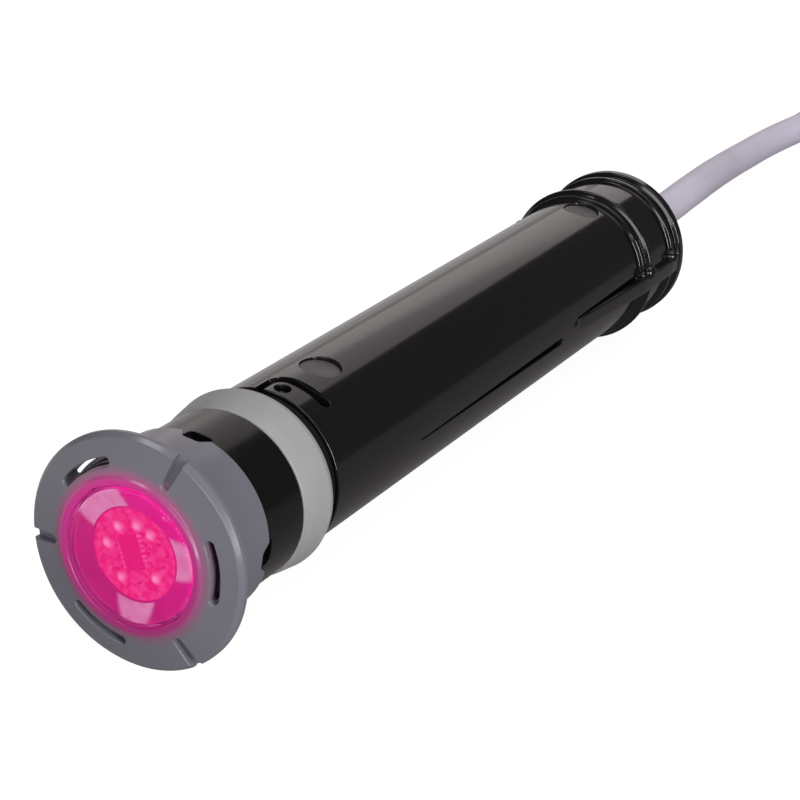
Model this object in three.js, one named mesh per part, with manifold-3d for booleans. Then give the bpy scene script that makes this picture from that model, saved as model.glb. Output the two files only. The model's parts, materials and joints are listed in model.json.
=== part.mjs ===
// Underwater pond light of the kind that slides into a 2 inch wall pipe, lying on its side.
//
// Millimetres, +Z up. The light is drawn in its own frame first: its long axis is Y, the seat plane
// behind the front flange is y = 0, the lens faces -Y and the cable leaves towards +Y. A clock angle
// is measured round that axis from +X (0 degrees) to +Z (90 degrees). The finished light is then laid
// down on the two round edges that carry it, the flange and the tail rim, with z = 0 as the floor.

import * as THREE from "three";
import { mergeVertices } from "three/addons/utils/BufferGeometryUtils.js";
import Module from "manifold-3d";

const wasm = await Module();
wasm.setup();

// ---------------------------------------------------------------- driving dimensions

const FLANGE_R = 32;            // front flange, 64 mm across
const FLANGE_FRONT = -4.5;      // front plane of the flange's edge
const LIP_FRONT = -7;           // raised lip round the lens
const COLLAR_R = 24.9;          // smooth collar behind the flange
const COLLAR_BACK = 17.6;
const NECK_R = 23.6;            // black neck of the front housing
const NECK_BACK = 35.6;
const CORE_R = 20.2;            // watertight capsule inside the sleeve
const CORE_BACK = 250;
const CORE_WALL = 2.2;
const GASKET_R = 25.5;          // silicone ring that is squeezed against the pipe
const GASKET_BACK = 47.9;
const SLEEVE_R = 23.25;         // long glossy sleeve
const SLEEVE_BORE = 20.9;
const SLEEVE_FRONT = 53.4;
const SLEEVE_BACK = 279.2;
const RIM_R = 26;               // the two tail rims, 52 mm in a 52.5 mm bore
const DRUM_R = 24;              // between the two tail rims
const CABLE_R = 6;
const GAP = 0.3;                // clearance between touching pieces

const ROUND = 40;               // facets round the large pieces
const MEDIUM = 24;
const SMALL = 12;

const LENS_HOLE_R = 18.9;       // hole in the bezel
const BEZEL_CLOCK = 12.5;       // clock angle of the first arc slot in the flange
const SLOT_INNER_R = 23.2;      // three arc slots right through the flange
const SLOT_OUTER_R = 25.6;
const SLOT_HALF_DEG = 19;
const GROOVE_WIDTH = 3.6;       // radial grooves half way between the slots
const GROOVE_INNER_R = 24.6;
const GROOVE_FLOOR = -1.8;
const GROOVE_DEPTH = 4.2;
const KEY_CLOCK = 90;           // snap pin and round recesses
const TAB_Y = 57.3;             // centre of the snap pin
const TAB_HOLE_R = 2.3;
const TAB_ROOT_CLOCK = 63;
const TAB_ROOT_GAP_DEG = 0.4;
const TAB_TIP_CLOCK = 98.7;
const TAB_SLOT_CLOCK = 105.2;
const TAB_BACK = 60.9;
const TAB_SLOT_BACK = 64.4;
const RECESS_R = 5.8;
const RECESS_FLOOR = 22;        // distance of a recess's flat floor from the axis
const RECESS_YS = [76.3, 241.6];
const RAIL_CLOCK = 5;           // middle of the rail on each side of the tail
const RAIL_WIDTH = 5.4;
const LUG_COUNT = 3;
const LUG_CLOCK = 30;
const TWIST_DEG = 30;           // turn that frees the bezel
const LUG_HALF_DEG = 6;
const CHANNEL_SLACK_DEG = 1;
const CAP_FACE = 255;           // rear face of the capsule's cap
const CAP_SCREW_CIRCLE_R = 15.6;
const NUT_CORNER_R = 13.6;
const RELIEF_TIP = 312;

const rad = THREE.MathUtils.degToRad;

// ---------------------------------------------------------------- materials

function plastic(color, roughness = 0.35) {
  return new THREE.MeshStandardMaterial({ color, roughness, metalness: 0 });
}

function metal(color, roughness = 0.35) {
  return new THREE.MeshStandardMaterial({ color, roughness, metalness: 1 });
}

const GREY = 0x6b6a73;
const BLACK = 0x1b1a19;
const CABLE_GREY = 0xbfb8c6;
const LAMP_PINK = 0xff2fa0;
const CORE_COLORS = [0x7a4a24, 0x2b4f9e, 0x6f8f2c];

// ---------------------------------------------------------------- solids

// A closed solid from a geometry: shared corners are merged so that cuts and joins can be made.
function solid(geometry) {
  const bare = geometry.clone();
  bare.deleteAttribute("normal");
  bare.deleteAttribute("uv");
  const merged = mergeVertices(bare, 1e-4);
  const mesh = new wasm.Mesh({
    numProp: 3,
    vertProperties: new Float32Array(merged.attributes.position.array),
    triVerts: new Uint32Array(merged.index.array),
  });
  mesh.merge();
  return new wasm.Manifold(mesh);
}

function geometryOf(body) {
  const mesh = body.getMesh();
  const geometry = new THREE.BufferGeometry();
  geometry.setAttribute("position", new THREE.BufferAttribute(mesh.vertProperties, 3));
  geometry.setIndex(new THREE.BufferAttribute(mesh.triVerts, 1));
  geometry.computeVertexNormals();
  return geometry;
}

function cut(geometry, ...cutters) {
  return geometryOf(cutters.reduce((body, cutter) => body.subtract(solid(cutter)), solid(geometry)));
}

function join(geometry, ...others) {
  return geometryOf(others.reduce((body, other) => body.add(solid(other)), solid(geometry)));
}

// Outline of [radius, y] corners turned round the Y axis. The front runs outwards, the outside runs
// back, and the inside comes forward again.
function turned(outline, facets = ROUND) {
  const points = outline.map(([r, y]) => new THREE.Vector2(r, y));
  points.push(points[0].clone());
  return new THREE.LatheGeometry(points, facets);
}

function ring(innerR, outerR, y0, y1, facets = ROUND) {
  return turned([[innerR, y0], [outerR, y0], [outerR, y1], [innerR, y1]], facets);
}

function disc(r, y0, y1, facets = ROUND) {
  const points = [[0, y0], [r, y0], [r, y1], [0, y1]].map(([x, y]) => new THREE.Vector2(x, y));
  return new THREE.LatheGeometry(points, facets);
}

function roundRing(r, y, sectionR, facets = ROUND) {
  const geometry = new THREE.TorusGeometry(r, sectionR, 6, facets);
  geometry.rotateX(Math.PI / 2);
  geometry.translate(0, y, 0);
  return geometry;
}

// A shape drawn in the cross-section plane, x across and y up, made solid between two stations.
function across(shape, y0, y1, curveSegments = 6) {
  const geometry = new THREE.ExtrudeGeometry(shape, { depth: y1 - y0, bevelEnabled: false, curveSegments });
  geometry.rotateX(Math.PI / 2);
  geometry.translate(0, y1, 0);
  return geometry;
}

// Part of a ring between two clock angles, with square or round ends.
function ringPart(innerR, outerR, clock0, clock1, roundEnds = false) {
  const a0 = rad(clock0);
  const a1 = rad(clock1);
  const midR = (innerR + outerR) / 2;
  const endR = (outerR - innerR) / 2;
  const shape = new THREE.Shape();
  shape.absarc(0, 0, outerR, a0, a1, false);
  if (roundEnds) {
    shape.absarc(midR * Math.cos(a1), midR * Math.sin(a1), endR, a1, a1 + Math.PI, false);
  }
  shape.absarc(0, 0, innerR, a1, a0, true);
  if (roundEnds) {
    shape.absarc(midR * Math.cos(a0), midR * Math.sin(a0), endR, a0 + Math.PI, a0 + 2 * Math.PI, false);
  }
  shape.closePath();
  return shape;
}

// Geometry built at clock angle 90, on top of the light, is swung to another clock angle.
function clocked(geometry, clock) {
  return geometry.rotateY(rad(KEY_CLOCK - clock));
}

function box(width, length, height, x, y, z) {
  const geometry = new THREE.BoxGeometry(width, length, height);
  geometry.translate(x, y, z);
  return geometry;
}

// Upright round bar from z0 to z1.
function post(r, x, y, z0, z1, facets = SMALL) {
  const geometry = new THREE.CylinderGeometry(r, r, z1 - z0, facets);
  geometry.rotateX(Math.PI / 2);
  geometry.translate(x, y, (z0 + z1) / 2);
  return geometry;
}

// Solid cord or wire along a smooth curve through the points.
function cordAlong(points, r, steps, facets = 8) {
  const curve = new THREE.CatmullRomCurve3(points.map((p) => new THREE.Vector3(...p)), false, "centripetal");
  const section = new THREE.Shape();
  for (let i = 0; i < facets; i++) {
    const a = (2 * Math.PI * i) / facets;
    if (i === 0) {
      section.moveTo(r * Math.cos(a), r * Math.sin(a));
    } else {
      section.lineTo(r * Math.cos(a), r * Math.sin(a));
    }
  }
  section.closePath();
  return new THREE.ExtrudeGeometry(section, { steps, extrudePath: curve, bevelEnabled: false });
}

// ---------------------------------------------------------------- scene graph

const pondLight = new THREE.Group();
const light = new THREE.Group();
pondLight.add(light);

function add(name, geometry, material, parent = light) {
  const mesh = new THREE.Mesh(geometry, material);
  mesh.name = name;
  parent.add(mesh);
  return mesh;
}

// ---------------------------------------------------------------- bezel

function bezel() {
  const shell = turned([
    [LENS_HOLE_R, -6.7], [19.3, LIP_FRONT], [20.5, LIP_FRONT], [21.1, -6.3], [24, -5.9], [27.5, -5.3],
    [30.2, FLANGE_FRONT], [31.5, -3.7], [FLANGE_R, -2.7], [FLANGE_R, -0.5], [31.5, 0],
    [25.7, 0], [COLLAR_R, 0.8], [COLLAR_R, 17], [24.6, COLLAR_BACK],
    [NECK_R + GAP, COLLAR_BACK], [NECK_R + GAP, -3.4], [LENS_HOLE_R, -3.4],
  ]);
  const cutters = [];
  for (let i = 0; i < 3; i++) {
    const clock = BEZEL_CLOCK + 120 * i;
    const slot = ringPart(SLOT_INNER_R, SLOT_OUTER_R, clock - SLOT_HALF_DEG, clock + SLOT_HALF_DEG, true);
    cutters.push(across(slot, -10, 1));
    const grooveY = GROOVE_FLOOR - GROOVE_DEPTH / 2;
    const groove = box(GROOVE_WIDTH, GROOVE_DEPTH, 9, 0, grooveY, GROOVE_INNER_R + 4.5);
    cutters.push(clocked(groove, clock + 60));
    const grooveEnd = new THREE.CylinderGeometry(GROOVE_WIDTH / 2, GROOVE_WIDTH / 2, GROOVE_DEPTH, SMALL);
    grooveEnd.translate(0, grooveY, GROOVE_INNER_R);
    cutters.push(clocked(grooveEnd, clock + 60));
  }
  for (let i = 0; i < 4; i++) {
    const notch = box(8, 4, 4, 0, COLLAR_BACK - 0.8, COLLAR_R);
    cutters.push(clocked(notch, 90 * i));
  }
  const lugs = [];
  for (let i = 0; i < LUG_COUNT; i++) {
    const clock = LUG_CLOCK + 120 * i;
    lugs.push(across(ringPart(22.8, 24.4, clock - LUG_HALF_DEG, clock + LUG_HALF_DEG), 12.4, 14.4));
  }
  return join(cut(shell, ...cutters), ...lugs);
}

add("bezel", bezel(), plastic(GREY, 0.4));

// ---------------------------------------------------------------- lens and lamp

add("lens_retainer", ring(18.8, 21.5, -3.1, -2), plastic(BLACK));
add(
  "lens",
  new THREE.LatheGeometry(
    [
      [0, -7.7], [6, -7.6], [12, -7.3], [16.4, -6.9], [18.1, -6.5], [18.5, -6], [18.5, -1.7],
      [21.4, -1.7], [21.4, -0.2], [17.6, -0.2], [17.6, -5.2], [16.2, -5.6], [12, -5.9], [6, -6.1],
      [0, -6.2],
    ].map(([r, y]) => new THREE.Vector2(r, y)),
    ROUND,
  ),
  plastic(0xf0d8ee, 0.08),
);
add("lens_seal", roundRing(20.25, 0.95, 0.7, MEDIUM), plastic(0x222222, 0.7));
add(
  "reflector",
  turned([[12.8, -4.3], [16.4, -5.2], [17.2, -5], [17.2, -3.9], [12.8, -3.9]]),
  plastic(0xf3c7e6, 0.15),
);
add("led_board", disc(16.8, -3.6, -2, MEDIUM), plastic(0xf4e9ee, 0.5));
add("thermal_pad", ring(3.2, 15.8, -1.7, -1.2, MEDIUM), plastic(0x9aa0a8, 0.8));

const LED_CLOCKS = [60, 92, 134, 180, 250, 330];
const LED_CIRCLE_R = 8;
LED_CLOCKS.forEach((ledClock, i) => {
  const outline = [[0, -1.5], [0.7, -1.4], [1.2, -1], [1.3, -0.6], [1.7, -0.6], [1.7, 0], [0, 0]];
  const led = add(
    `led_${i + 1}`,
    new THREE.LatheGeometry(outline.map(([r, y]) => new THREE.Vector2(r, y)), SMALL),
    plastic(LAMP_PINK, 0.2),
  );
  const clock = rad(ledClock);
  led.position.set(LED_CIRCLE_R * Math.cos(clock), -3.9, LED_CIRCLE_R * Math.sin(clock));
});
const CHIP_CLOCK = 116;         // the way the chip's long side points
const chip = clocked(box(5, 1, 8, 0, -4.4, 0), CHIP_CLOCK);
add("control_chip", chip, plastic(0x8c1a5b, 0.4)).position.set(-0.6, 0, 0.5);

function heatSink() {
  const core = turned([
    [3, -0.9], [17, -0.9], [17, 1.9], [18.6, 1.9], [18.6, 5], [8, 5], [8, 40], [3, 40],
  ], MEDIUM);
  const fins = [];
  const finCount = 8;
  for (let i = 0; i < finCount; i++) {
    fins.push(clocked(box(1.8, 35, 9.5, 0, 22.3, 12.2), (360 / finCount) * i));
  }
  return join(core, ...fins);
}

add("heat_sink", heatSink(), metal(0xb9bcc0, 0.45));

// ---------------------------------------------------------------- watertight capsule

function frontHousing() {
  const shell = turned([
    [21.8, -3.1], [NECK_R, -3.1], [NECK_R, NECK_BACK], [CORE_R, NECK_BACK], [CORE_R, 51],
    [17.6, 51], [17.6, 5.3], [18.9, 5.3], [18.9, 1.9], [21.8, 1.9],
  ]);
  const channels = [];
  for (let i = 0; i < LUG_COUNT; i++) {
    const start = LUG_CLOCK + 120 * i - LUG_HALF_DEG - CHANNEL_SLACK_DEG;
    const end = LUG_CLOCK + 120 * i + TWIST_DEG + LUG_HALF_DEG + CHANNEL_SLACK_DEG;
    const entry = end - 2 * (LUG_HALF_DEG + CHANNEL_SLACK_DEG);
    channels.push(across(ringPart(22.4, 26, start, end), 12, 14.8));
    channels.push(across(ringPart(22.4, 26, entry, end), -5, 14.8));
  }
  return cut(shell, ...channels);
}

add("front_housing", frontHousing(), plastic(BLACK, 0.25));
add(
  "capsule_tube",
  turned([
    [15.6, 44], [17.3, 44], [17.3, 46], [16.3, 46], [16.3, 48.2], [17.3, 48.2], [17.3, 51.3],
    [CORE_R, 51.3], [CORE_R, CORE_BACK], [CORE_R - CORE_WALL, CORE_BACK], [CORE_R - CORE_WALL, 54],
    [15.6, 52],
  ]),
  plastic(BLACK, 0.4),
);
add("front_o_ring", roundRing(17, 47.1, 0.5, MEDIUM), plastic(0x222222, 0.7));
add(
  "rear_cap",
  turned([
    [6.5, 240], [17.7, 240], [17.7, 243], [16.5, 243], [16.5, 245.4], [17.7, 245.4],
    [17.7, CORE_BACK + GAP], [CORE_R, CORE_BACK + GAP], [CORE_R, CAP_FACE], [11.5, CAP_FACE], [11.5, 263],
    [8.8, 263], [8.8, 256.5], [6.5, 256.5],
  ], MEDIUM),
  plastic(BLACK, 0.4),
);
add("rear_o_ring", roundRing(17.25, 244.2, 0.5, MEDIUM), plastic(0x222222, 0.7));

const CAP_SCREW_COUNT = 3;
for (let i = 0; i < CAP_SCREW_COUNT; i++) {
  const head = new THREE.LatheGeometry(
    [[0, 0], [2.2, 0], [2.2, 1.2], [1.6, 1.8], [0, 2]].map(([r, y]) => new THREE.Vector2(r, y)),
    SMALL,
  );
  const screw = add(`cap_screw_${i + 1}`, head, metal(0xa8aaad));
  const clock = rad(KEY_CLOCK + (360 / CAP_SCREW_COUNT) * i);
  screw.position.set(Math.cos(clock), 0, Math.sin(clock)).multiplyScalar(CAP_SCREW_CIRCLE_R);
  screw.position.y = CAP_FACE + GAP;
}

// ---------------------------------------------------------------- gasket and sleeve

add(
  "gasket",
  turned([
    [CORE_R + GAP, NECK_BACK + GAP], [23.85, NECK_BACK + GAP], [24.4, 39], [GASKET_R, 46.4],
    [25.3, 47.5], [24.8, GASKET_BACK], [CORE_R + GAP, GASKET_BACK],
  ]),
  plastic(0xb9b7b4, 0.5),
);
add("pressure_ring", ring(CORE_R + GAP, 22.4, GASKET_BACK + GAP, SLEEVE_FRONT - GAP), plastic(BLACK));

function tailRail(clock) {
  const side = new THREE.Shape();
  side.moveTo(198, 22.4);
  side.lineTo(SLEEVE_BACK - 3, 22.4);
  side.lineTo(SLEEVE_BACK - 3, 25.9);
  side.lineTo(248, 25.9);
  side.lineTo(198, 23.1);
  side.closePath();
  const rail = new THREE.ExtrudeGeometry(side, { depth: RAIL_WIDTH, bevelEnabled: false });
  rail.translate(0, 0, -RAIL_WIDTH / 2);
  // x of the outline is the station along the axis and y of it the height above the axis
  const turn = new THREE.Matrix4().makeBasis(
    new THREE.Vector3(0, 1, 0),
    new THREE.Vector3(0, 0, 1),
    new THREE.Vector3(1, 0, 0),
  );
  rail.applyMatrix4(turn);
  return clocked(rail, clock);
}

function sleeve() {
  const tube = turned([
    [SLEEVE_BORE, SLEEVE_FRONT], [22.9, SLEEVE_FRONT], [SLEEVE_R, SLEEVE_FRONT + 0.4],
    [SLEEVE_R, 248], [24.7, 248.6], [24.7, 249.8], [24.2, 250.2], [24.4, 251], [RIM_R, 251.8],
    [RIM_R, 252.8], [25.2, 253.6], [DRUM_R, 254], [DRUM_R, 270.6], [25.5, 271.3], [25.5, 272.6],
    [24.7, 273], [24.7, 275.3], [RIM_R, 276], [RIM_R, 278.6], [25.4, SLEEVE_BACK],
    [SLEEVE_BORE, SLEEVE_BACK],
  ]);
  const cutters = [];
  const tabOpening = ringPart(19, 28, TAB_ROOT_CLOCK - TAB_ROOT_GAP_DEG, TAB_SLOT_CLOCK);
  cutters.push(across(tabOpening, SLEEVE_FRONT - 4, TAB_SLOT_BACK));
  for (const y of RECESS_YS) {
    cutters.push(post(RECESS_R, 0, y, RECESS_FLOOR, 30, MEDIUM));
  }
  for (const side of [0, 180]) {
    const long = box(1.6, 91, 6, 0, 143.5, 22);
    cutters.push(clocked(long, side === 0 ? 2.5 : 177.5));
    const short = box(1.6, 46, 3, 0, 222, 24.2);
    cutters.push(clocked(short, side === 0 ? 12.6 : 167.4));
  }
  const railed = join(tube, tailRail(RAIL_CLOCK), tailRail(180 - RAIL_CLOCK));
  return cut(railed, ...cutters);
}

add("sleeve", sleeve(), plastic(BLACK, 0.15));

function lockTab() {
  const shape = ringPart(SLEEVE_BORE, SLEEVE_R, TAB_ROOT_CLOCK + TAB_ROOT_GAP_DEG, TAB_TIP_CLOCK);
  const tab = across(shape, SLEEVE_FRONT, TAB_BACK);
  return cut(tab, post(TAB_HOLE_R, 0, TAB_Y, 15, 30));
}

add("lock_tab", lockTab(), plastic(BLACK, 0.15));

function snapPin() {
  const outline = [[0, 0], [2, 0], [2, 0.8], [1.5, 1.4], [0.8, 1.7], [0, 1.8]];
  const pin = new THREE.LatheGeometry(outline.map(([r, y]) => new THREE.Vector2(r, y)), SMALL);
  pin.rotateX(Math.PI / 2);
  pin.translate(0, TAB_Y, CORE_R + GAP);
  return pin;
}

add("snap_pin", snapPin(), metal(0x3a3838, 0.2));

// ---------------------------------------------------------------- driver electronics

function boardHolder(y) {
  return cut(ring(9, 17.6, y, y + 5, MEDIUM), box(31, 12, 2.3, 0, y, -0.8));
}

const BOARD_TOP = 0;
add("board_holder_front", boardHolder(57), plastic(0xd8d4c8, 0.6));
add("board_holder_rear", boardHolder(171), plastic(0xd8d4c8, 0.6));
add("driver_board", box(30, 118, 1.6, 0, 116, BOARD_TOP - 0.8), plastic(0x1f5a3a, 0.5));
add("transformer", box(18, 22, 12, 0, 88, BOARD_TOP + GAP + 6), plastic(0xc9a13b, 0.6));
add("driver_chip", box(10, 9, 2, 5, 108, BOARD_TOP + GAP + 1), plastic(0x18181a, 0.5));
add("inductor", post(6.5, -6, 120, BOARD_TOP + GAP, BOARD_TOP + 8, MEDIUM), metal(0xb06a35, 0.5));
add("capacitor_1", post(4, 8, 126, BOARD_TOP + GAP, BOARD_TOP + 13), plastic(0x23304a, 0.4));
add("capacitor_2", post(4, 8, 137, BOARD_TOP + GAP, BOARD_TOP + 13), plastic(0x23304a, 0.4));
add("terminal_block", box(18, 9, 9, 0, 162, BOARD_TOP + GAP + 4.5), plastic(0x2e7d4f, 0.5));

for (const [index, x] of [-1.3, 1.3].entries()) {
  add(
    `lamp_wire_${index + 1}`,
    cordAlong([[x, -1.6, 0], [x, 20, 0], [x, 44, 0.4], [2.6 * x, 58, 1.6], [3 * x, 72, 1.6]], 0.8, 14, 6),
    plastic(index === 0 ? 0xb03030 : 0x222222, 0.6),
  );
}
for (const [index, color] of CORE_COLORS.entries()) {
  const x = 3.4 * (index - 1);
  add(
    `cable_core_${index + 1}`,
    cordAlong([[x, 231.5, 0], [x, 215, 0.8], [1.4 * x, 190, 3.5], [1.6 * x, 167.2, 4.5]], 1.4, 12, 6),
    plastic(color, 0.6),
  );
}

// ---------------------------------------------------------------- cable exit

function glandNut() {
  const hex = new THREE.Shape();
  for (let i = 0; i < 6; i++) {
    const a = rad(60 * i);
    if (i === 0) {
      hex.moveTo(NUT_CORNER_R * Math.cos(a), NUT_CORNER_R * Math.sin(a));
    } else {
      hex.lineTo(NUT_CORNER_R * Math.cos(a), NUT_CORNER_R * Math.sin(a));
    }
  }
  hex.closePath();
  return cut(across(hex, 263.3, 272), disc(6.5, 260, 275, MEDIUM));
}

add("gland_seal", ring(6.4, 8.4, 256.8, 262.9, MEDIUM), plastic(0x2a2a2a, 0.8));
add("gland_nut", glandNut(), plastic(BLACK, 0.35));
add(
  "strain_relief",
  turned([[6.4, 272.3], [9.4, 272.3], [9.4, 277], [8.7, 278], [7, 310.5], [6.4, RELIEF_TIP]], MEDIUM),
  plastic(CABLE_GREY, 0.6),
);
add("cable_inner", disc(CABLE_R, 232, RELIEF_TIP, MEDIUM), plastic(CABLE_GREY, 0.5));

// ---------------------------------------------------------------- laying the light down

const FLANGE_EDGE_Y = -0.5;
const RIM_EDGE_Y = 278.6;
const LIE = Math.atan2(FLANGE_R - RIM_R, RIM_EDGE_Y - FLANGE_EDGE_Y);
const MIDDLE_Y = 152.2;       // halfway from the lens to the tip of the strain relief
light.rotation.x = -LIE;
light.position.y = -MIDDLE_Y;
light.position.z = FLANGE_R * Math.cos(LIE) + FLANGE_EDGE_Y * Math.sin(LIE);

// ---------------------------------------------------------------- free cable

// Middle line of the cable from the strain relief's tip down to the floor and on to its hank.
const CABLE_ROUTE = [
  [0, 160, 25.27], [-0.4, 178.7, 24.9], [-1.5, 193.7, 24], [-3, 208.7, 22.4], [-4.9, 223.7, 20.3],
  [-7, 238.7, 17.8], [-9.1, 253.7, 15.1], [-11, 268.7, 12.5], [-12.5, 283.7, 10.2],
  [-13.5, 298.7, 8.3], [-13.9, 313.7, 7.1], [-13.3, 328.7, 6.5], [-11.9, 343.7, 6.3],
  [-10.2, 358.6, 6.3], [-10.5, 373.6, 6.6], [-11.4, 379.6, 6.7],
];
add("power_cable", cordAlong(CABLE_ROUTE, CABLE_R, 14), plastic(CABLE_GREY, 0.5), pondLight);

// The rest of the cable is folded into a hank of oval loops, two side by side and five high, with its bare
// end in the place of the top layer's inner loop.
const HANK_RUN = 128;           // straight part of a loop
const HANK_OUTER_R = 54;
const HANK_INNER_R = 30;
const HANK_HEIGHT = 60;
const SHELF_R = 42.3;           // the top layer's inner loop is missing, which leaves a shelf
const SHELF_HEIGHT = 48.3;
const END_R = (HANK_INNER_R + SHELF_R) / 2;
const END_HEIGHT = SHELF_HEIGHT + GAP + CABLE_R;
const TIE_THICKNESS = 1.1;
const TIE_WIDTH = 12;

const hank = new THREE.Group();
hank.position.set(27, 426, TIE_THICKNESS + 2 * GAP);
pondLight.add(hank);

// An oval outline with two straight runs and two round folds.
function oval(path, r) {
  path.absarc(0, HANK_RUN, r, 0, Math.PI, false);
  path.absarc(0, 0, r, Math.PI, 2 * Math.PI, false);
  path.closePath();
  return path;
}

function ovalSolid(outer, bottom, height, hole) {
  const shape = oval(new THREE.Shape(), outer);
  if (hole) {
    shape.holes.push(oval(new THREE.Path(), hole));
  }
  const options = { depth: height, bevelEnabled: false, curveSegments: 24 };
  return new THREE.ExtrudeGeometry(shape, options).translate(0, 0, bottom);
}

add(
  "cable_hank",
  cut(ovalSolid(HANK_OUTER_R, 0, HANK_HEIGHT, HANK_INNER_R), ovalSolid(SHELF_R, SHELF_HEIGHT, HANK_HEIGHT)),
  plastic(CABLE_GREY, 0.5),
  hank,
);

// A strap round the section of one run.
function hankTie() {
  const t = TIE_THICKNESS;
  const inner = HANK_INNER_R - GAP;
  const outer = HANK_OUTER_R + GAP;
  const low = -GAP;
  const high = HANK_HEIGHT + GAP;
  const strap = new THREE.Shape();
  strap.moveTo(inner - t, low - t);
  strap.lineTo(outer + t, low - t);
  strap.lineTo(outer + t, high + t);
  strap.lineTo(inner - t, high + t);
  strap.closePath();
  const opening = new THREE.Path();
  opening.moveTo(inner, low);
  opening.lineTo(inner, high);
  opening.lineTo(outer, high);
  opening.lineTo(outer, low);
  opening.closePath();
  strap.holes.push(opening);
  const geometry = new THREE.ExtrudeGeometry(strap, { depth: TIE_WIDTH, bevelEnabled: false });
  return geometry.translate(0, 0, -TIE_WIDTH / 2).rotateX(Math.PI / 2);
}

for (const [index, side] of [1, -1].entries()) {
  const tie = add(`hank_tie_${index + 1}`, hankTie(), plastic(0x2b2b2e, 0.8), hank);
  tie.position.y = HANK_RUN / 2;
  tie.rotation.z = side > 0 ? 0 : Math.PI;
}

// The last of the cable lies on the shelf, round the near fold and on to the straight run, where its jacket
// ends and the bare cores go on.
const JACKET_END_Y = 16;
const CORE_END_Y = 50;
const endRoute = [];
for (let i = 0; i <= 4; i++) {
  const a = rad(240 - 15 * i);
  endRoute.push([END_R * Math.cos(a), END_R * Math.sin(a), END_HEIGHT]);
}
endRoute.push([-END_R, JACKET_END_Y / 2, END_HEIGHT], [-END_R, JACKET_END_Y, END_HEIGHT]);
add("cable_end", cordAlong(endRoute, CABLE_R - 0.2, 6, 8), plastic(CABLE_GREY, 0.5), hank);
for (const [index, color] of CORE_COLORS.entries()) {
  const x = 3.2 * (index - 1) - END_R;
  const route = [[x, JACKET_END_Y + GAP, END_HEIGHT], [x, CORE_END_Y, END_HEIGHT]];
  add(`end_core_${index + 1}`, cordAlong(route, 1.4, 2, 6), plastic(color, 0.6), hank);
}

export default pondLight;
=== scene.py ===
"""Underwater pond light on a pale floor: the looks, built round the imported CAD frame.

Metres, +Z up. Most pieces are drawn in the light's own frame, in millimetres: its long axis is Y, the seat
plane behind the flange is y = 0 and the lens faces -Y. A clock angle is measured round that axis from +X
(0 degrees) to +Z (90 degrees).
"""

import json
import math

import bmesh
import bpy
import numpy as np
from mathutils import Matrix, Vector


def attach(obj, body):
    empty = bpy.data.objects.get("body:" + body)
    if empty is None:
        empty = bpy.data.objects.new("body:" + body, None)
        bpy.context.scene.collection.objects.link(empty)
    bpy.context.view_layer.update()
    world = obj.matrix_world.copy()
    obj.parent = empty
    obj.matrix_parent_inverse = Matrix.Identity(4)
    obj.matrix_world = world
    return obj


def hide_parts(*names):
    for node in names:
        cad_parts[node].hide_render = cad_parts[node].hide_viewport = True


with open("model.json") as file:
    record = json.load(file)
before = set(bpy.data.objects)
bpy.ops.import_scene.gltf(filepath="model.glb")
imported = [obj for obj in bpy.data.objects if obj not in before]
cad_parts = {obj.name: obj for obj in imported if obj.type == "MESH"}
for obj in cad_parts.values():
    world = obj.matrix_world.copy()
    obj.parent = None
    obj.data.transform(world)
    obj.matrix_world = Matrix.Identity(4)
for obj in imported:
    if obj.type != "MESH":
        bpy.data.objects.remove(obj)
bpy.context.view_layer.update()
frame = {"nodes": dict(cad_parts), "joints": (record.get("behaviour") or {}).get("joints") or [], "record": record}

MM = 0.001
SEGMENTS = 256                 # facets round the large turned pieces

# The light's own frame, taken from the bezel's joint, which lies on the long axis in the seat plane.
TWIST = next(joint for joint in frame["joints"] if joint["name"] == "bezel_twist")
SEAT = Vector(TWIST["pos_m"])
ALONG = -Vector(TWIST["axis"]).normalized()
ACROSS = Vector((1, 0, 0))
UPWARDS = ACROSS.cross(ALONG)
TURN = Matrix((ACROSS, ALONG, UPWARDS)).transposed()
LIGHT = Matrix.Translation(SEAT) @ (TURN * MM).to_4x4()

# Driving dimensions in millimetres, as in the CAD part, but the bezel's edge lies just inside the CAD's.
RIM_EDGE_R = 31.5
COLLAR_R = 24.9
COLLAR_BACK = 17.6
NECK_R = 23.6
SLEEVE_R = 23.25
SLEEVE_BORE = 20.9
SLEEVE_FRONT = 53.4
SLEEVE_BACK = 279.2
RIM_R = 26
KEY_CLOCK = 90                 # the lock tab and the recesses
BEZEL_CLOCK = 12.5             # the first of the bezel's three slots
TAB_Y = 57.3
TAB_HOLE_R = 2.3
RECESS_R = 5.8
RECESS_FLOOR = 22
RECESS_YS = (76.3, 241.6)
RAIL_CLOCK = 5
LUG_CLOCK = 30


def local(x, y, z):
    """A point in the light's own frame, in millimetres, as a point in the scene's frame."""
    return LIGHT @ Vector((x, y, z))


def swung(x, z, degrees):
    """A point of a plane, swung round the plane's middle."""
    a = math.radians(degrees)
    return x * math.cos(a) - z * math.sin(a), x * math.sin(a) + z * math.cos(a)


# ---------------------------------------------------------------- meshes

def add_object(name, data):
    """A new object in the scene."""
    made = bpy.data.objects.new(name, data)
    bpy.context.scene.collection.objects.link(made)
    return made


def mesh_object(name, points, faces):
    """A closed mesh from points in the light's own frame, with its faces pointing out."""
    mesh = bpy.data.meshes.new(name)
    mesh.from_pydata([local(*point) for point in points], [], faces)
    bm = bmesh.new()
    bm.from_mesh(mesh)
    bmesh.ops.recalc_face_normals(bm, faces=bm.faces)
    bm.to_mesh(mesh)
    bm.free()
    return add_object(name, mesh)


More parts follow.
